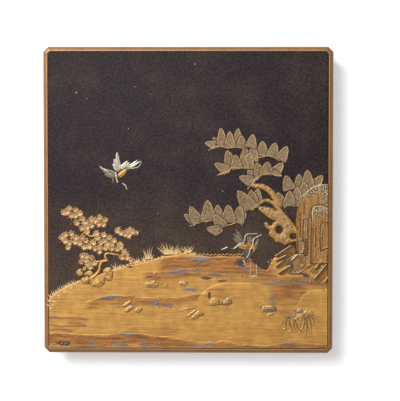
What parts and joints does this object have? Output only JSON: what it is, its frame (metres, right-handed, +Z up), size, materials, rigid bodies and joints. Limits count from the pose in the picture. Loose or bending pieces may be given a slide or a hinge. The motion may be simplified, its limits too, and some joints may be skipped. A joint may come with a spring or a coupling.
{
  "type": "writing box",
  "caption": "Shallow lacquered box with an overlapping lid that lifts off, its top carved in low relief with cranes, pine and rocks and set with beads.",
  "frame": {"origin": "centre of the flat underside of the tray", "axes": "+Z up out of the lid's top, +Y towards the top of the picture on the lid, which is the box's long way, +X to the picture's right"},
  "size_m": [0.2266, 0.24, 0.0471],
  "materials": {
    "lid": "nearly black sprinkled lacquer, satin, with a worn gold rim and a gold relief",
    "tray": "nearly black sprinkled lacquer, satin, gold at the rim",
    "coral_beads": "polished red coral",
    "malachite_beads": "polished green stone"
  },
  "bodies": {
    "root": {"lid": "lid", "tray": "tray", "coral_bead_01": "coral_beads", "coral_bead_02": "coral_beads", "coral_bead_03": "coral_beads", "coral_bead_04": "coral_beads", "coral_bead_05": "coral_beads", "coral_bead_06": "coral_beads", "coral_bead_07": "coral_beads", "coral_bead_08": "coral_beads", "coral_bead_09": "coral_beads", "coral_bead_10": "coral_beads", "coral_bead_11": "coral_beads", "coral_bead_12": "coral_beads", "coral_bead_13": "coral_beads", "coral_bead_14": "coral_beads", "coral_bead_15": "coral_beads", "coral_bead_16": "coral_beads", "coral_bead_17": "coral_beads", "coral_bead_18": "coral_beads", "coral_bead_19": "coral_beads", "coral_bead_20": "coral_beads", "malachite_bead_01": "malachite_beads", "malachite_bead_02": "malachite_beads", "malachite_bead_03": "malachite_beads", "malachite_bead_04": "malachite_beads", "malachite_bead_05": "malachite_beads", "malachite_bead_06": "malachite_beads", "malachite_bead_07": "malachite_beads", "malachite_bead_08": "malachite_beads", "malachite_bead_09": "malachite_beads", "malachite_bead_10": "malachite_beads", "malachite_bead_11": "malachite_beads", "malachite_bead_12": "malachite_beads", "malachite_bead_13": "malachite_beads", "malachite_bead_14": "malachite_beads"}
  },
  "joints": []
}
